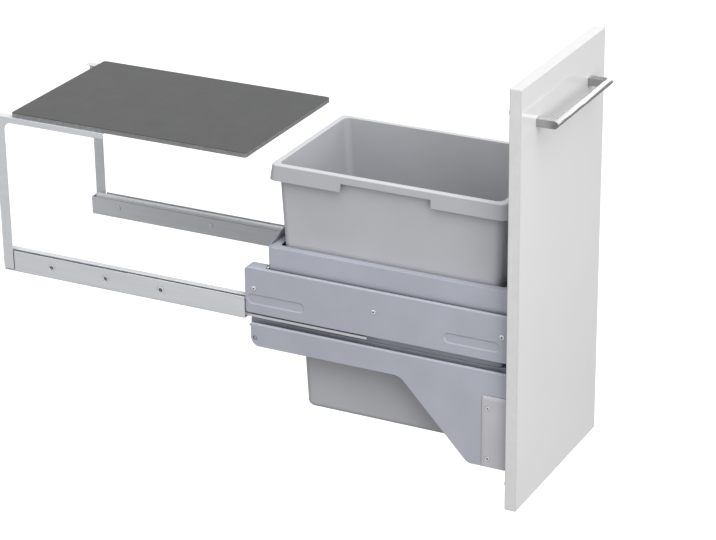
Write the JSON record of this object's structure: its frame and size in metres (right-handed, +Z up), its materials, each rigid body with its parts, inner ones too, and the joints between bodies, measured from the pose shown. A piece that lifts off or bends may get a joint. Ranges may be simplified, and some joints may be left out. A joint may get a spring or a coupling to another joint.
{
  "type": "pull-out bin frame",
  "caption": "Pull-out waste bin unit for a narrow base cabinet: a sheet steel frame on full-extension ball slides carries a bin and a door front, under a fixed lid.",
  "frame": {"origin": "middle of the cabinet opening, on the plane of the cabinet front edges, at the height of the rail screws", "axes": "+X across the cabinet to the right as seen from the front, +Y into the cabinet, +Z up; the unit is stored fully pulled out"},
  "size_m": [0.297, 0.8989, 0.635],
  "materials": {
    "painted_steel": "satin blue-grey powder coat",
    "zinc_steel": "bright zinc plate",
    "fastener_steel": "zinc plate",
    "ball_steel": "polished",
    "lid_steel": "satin dark grey",
    "door_lacquer": "high-gloss pale grey lacquer on board",
    "handle_steel": "satin nickel",
    "rubber": "matt",
    "clear_buffer": "clear soft plastic",
    "bin_plastic": "satin grey moulding"
  },
  "bodies": {
    "wall_rails": {"left_wall_rail": "zinc_steel", "right_wall_rail": "zinc_steel", "left_cabinet_slide": "zinc_steel", "right_cabinet_slide": "zinc_steel", "slide_rivets": "fastener_steel", "rear_buffers": "rubber", "left_lid_bracket": "zinc_steel", "right_lid_bracket": "zinc_steel", "lid_bracket_rivets": "fastener_steel", "lid": "lid_steel", "lid_screws": "fastener_steel", "lid_nuts": "fastener_steel"},
    "left_outer_cage": {"left_outer_ball_cage": "zinc_steel", "left_outer_balls": "ball_steel"},
    "left_middle": {"left_middle_slide": "zinc_steel"},
    "left_inner_cage": {"left_inner_ball_cage": "zinc_steel", "left_inner_balls": "ball_steel"},
    "right_outer_cage": {"right_outer_ball_cage": "zinc_steel", "right_outer_balls": "ball_steel"},
    "right_middle": {"right_middle_slide": "zinc_steel"},
    "right_inner_cage": {"right_inner_ball_cage": "zinc_steel", "right_inner_balls": "ball_steel"},
    "carriage": {"left_drawer_slide": "zinc_steel", "right_drawer_slide": "zinc_steel", "left_side_panel": "painted_steel", "right_side_panel": "painted_steel", "tray_ring": "painted_steel", "rear_brace": "painted_steel", "brace_rivets": "fastener_steel", "panel_spacers": "fastener_steel", "panel_screws": "fastener_steel", "panel_nuts": "fastener_steel", "left_carrier": "painted_steel", "right_carrier": "painted_steel", "left_carrier_angle": "painted_steel", "right_carrier_angle": "painted_steel", "carrier_rivets": "fastener_steel", "rear_cross_rail": "painted_steel", "front_cross_plate": "painted_steel", "left_door_plate": "painted_steel", "right_door_plate": "painted_steel", "carrier_bolts": "fastener_steel", "carrier_nuts": "fastener_steel", "left_upper_bracket": "painted_steel", "right_upper_bracket": "painted_steel", "door_screws": "fastener_steel", "door_front": "door_lacquer", "handle": "handle_steel", "handle_screws": "fastener_steel", "door_buffers": "clear_buffer", "bin_pads": "rubber", "bin": "bin_plastic"}
  },
  "joints": [
    {"name": "carriage_slide", "type": "slide", "parent": "wall_rails", "child": "carriage", "axis": [0, 1, 0], "range_m": [0, 0.412]},
    {"name": "left_outer_cage_slide", "type": "slide", "parent": "wall_rails", "child": "left_outer_cage", "axis": [0, 1, 0], "range_m": [0, 0.103]},
    {"name": "left_middle_slide", "type": "slide", "parent": "wall_rails", "child": "left_middle", "axis": [0, 1, 0], "range_m": [0, 0.206]},
    {"name": "left_inner_cage_slide", "type": "slide", "parent": "wall_rails", "child": "left_inner_cage", "axis": [0, 1, 0], "range_m": [0, 0.309]},
    {"name": "right_outer_cage_slide", "type": "slide", "parent": "wall_rails", "child": "right_outer_cage", "axis": [0, 1, 0], "range_m": [0, 0.103]},
    {"name": "right_middle_slide", "type": "slide", "parent": "wall_rails", "child": "right_middle", "axis": [0, 1, 0], "range_m": [0, 0.206]},
    {"name": "right_inner_cage_slide", "type": "slide", "parent": "wall_rails", "child": "right_inner_cage", "axis": [0, 1, 0], "range_m": [0, 0.309]}
  ],
  "couplings": [
    {"joint": "left_outer_cage_slide", "follows": "carriage_slide", "ratio": 0.25},
    {"joint": "left_middle_slide", "follows": "carriage_slide", "ratio": 0.5},
    {"joint": "left_inner_cage_slide", "follows": "carriage_slide", "ratio": 0.75},
    {"joint": "right_outer_cage_slide", "follows": "carriage_slide", "ratio": 0.25},
    {"joint": "right_middle_slide", "follows": "carriage_slide", "ratio": 0.5},
    {"joint": "right_inner_cage_slide", "follows": "carriage_slide", "ratio": 0.75}
  ]
}
